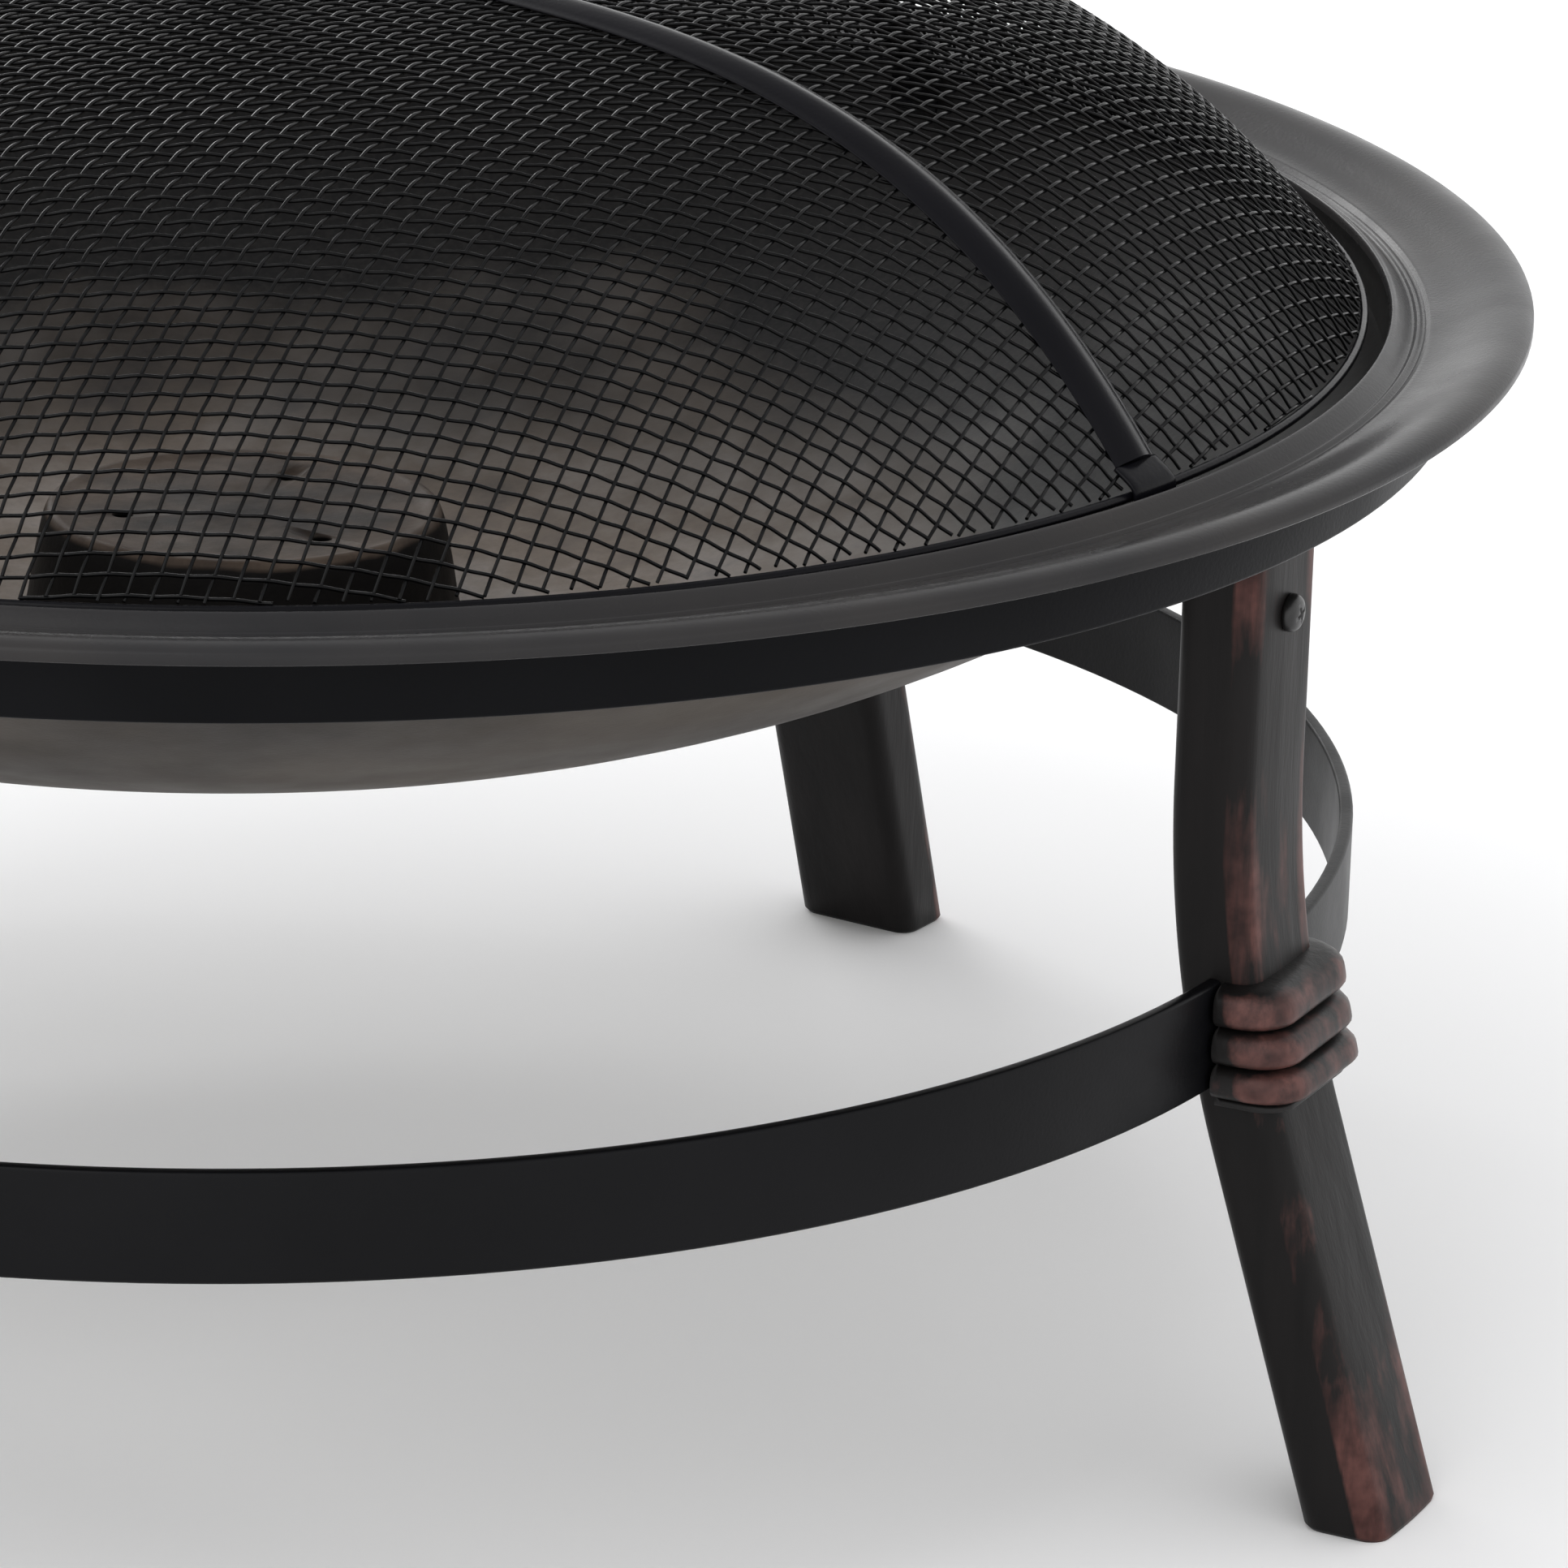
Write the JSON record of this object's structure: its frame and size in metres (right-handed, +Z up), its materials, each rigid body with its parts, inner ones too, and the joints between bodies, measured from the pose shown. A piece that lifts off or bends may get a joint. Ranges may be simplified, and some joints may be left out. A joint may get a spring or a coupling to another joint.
{
  "type": "fire pit with grate",
  "caption": "Round steel fire bowl in a four-legged stand with a wrapped lower hoop, a raised vented drum in the bowl and a domed mesh spark lid with ribs and a loop handle.",
  "frame": {"origin": "centre of the bounding box on the floor, under the middle of the bowl", "axes": "+Z up; the legs stand 42.3 degrees either side of the X axis, two at each end"},
  "size_m": [0.66, 0.66, 0.4036],
  "materials": {
    "bowl_steel": "charcoal heat-resistant paint, satin",
    "stand_steel": "black powder coat, satin",
    "leg_steel": "black paint with reddish brown rubbed through on edges and outer faces",
    "wrap_steel": "black paint, reddish brown rubbed through on the turns",
    "fastener_steel": "blackened steel",
    "drum_steel": "heat-browned dark paint, matt",
    "screen_wire": "black painted woven wire",
    "lid_steel": "black paint, satin"
  },
  "bodies": {
    "stand": {"support_band": "stand_steel", "lower_ring": "stand_steel", "leg_1": "leg_steel", "leg_2": "leg_steel", "leg_3": "leg_steel", "leg_4": "leg_steel", "leg_wrap_1": "wrap_steel", "leg_wrap_2": "wrap_steel", "leg_wrap_3": "wrap_steel", "leg_wrap_4": "wrap_steel", "leg_screw_1": "fastener_steel", "leg_screw_2": "fastener_steel", "leg_screw_3": "fastener_steel", "leg_screw_4": "fastener_steel", "band_bracket_1": "stand_steel", "band_bracket_2": "stand_steel", "band_bracket_3": "stand_steel", "band_bracket_4": "stand_steel", "ring_bolt_1": "fastener_steel", "ring_bolt_2": "fastener_steel", "ring_bolt_3": "fastener_steel", "ring_bolt_4": "fastener_steel"},
    "bowl": {"fire_bowl": "bowl_steel"},
    "grate": {"fire_grate": "drum_steel"},
    "lid": {"lid_screen": "screen_wire", "lid_hem_ring": "lid_steel", "lid_rib_1": "lid_steel", "lid_rib_2": "lid_steel", "lid_rib_3": "lid_steel", "lid_rib_4": "lid_steel", "lid_rib_foot_1": "lid_steel", "lid_rib_foot_2": "lid_steel", "lid_rib_foot_3": "lid_steel", "lid_rib_foot_4": "lid_steel", "lid_cap_plate": "lid_steel", "lid_handle": "fastener_steel", "lid_handle_nut_1": "fastener_steel", "lid_handle_nut_2": "fastener_steel"}
  },
  "joints": [
    {"name": "bowl_lift", "type": "slide", "parent": "stand", "child": "bowl", "axis": [0, 0, 1], "range_m": [0, 0.15]},
    {"name": "grate_lift", "type": "slide", "parent": "bowl", "child": "grate", "axis": [0, 0, 1], "range_m": [0, 0.12]},
    {"name": "lid_lift", "type": "slide", "parent": "bowl", "child": "lid", "axis": [0, 0, 1], "range_m": [0, 0.25]}
  ]
}
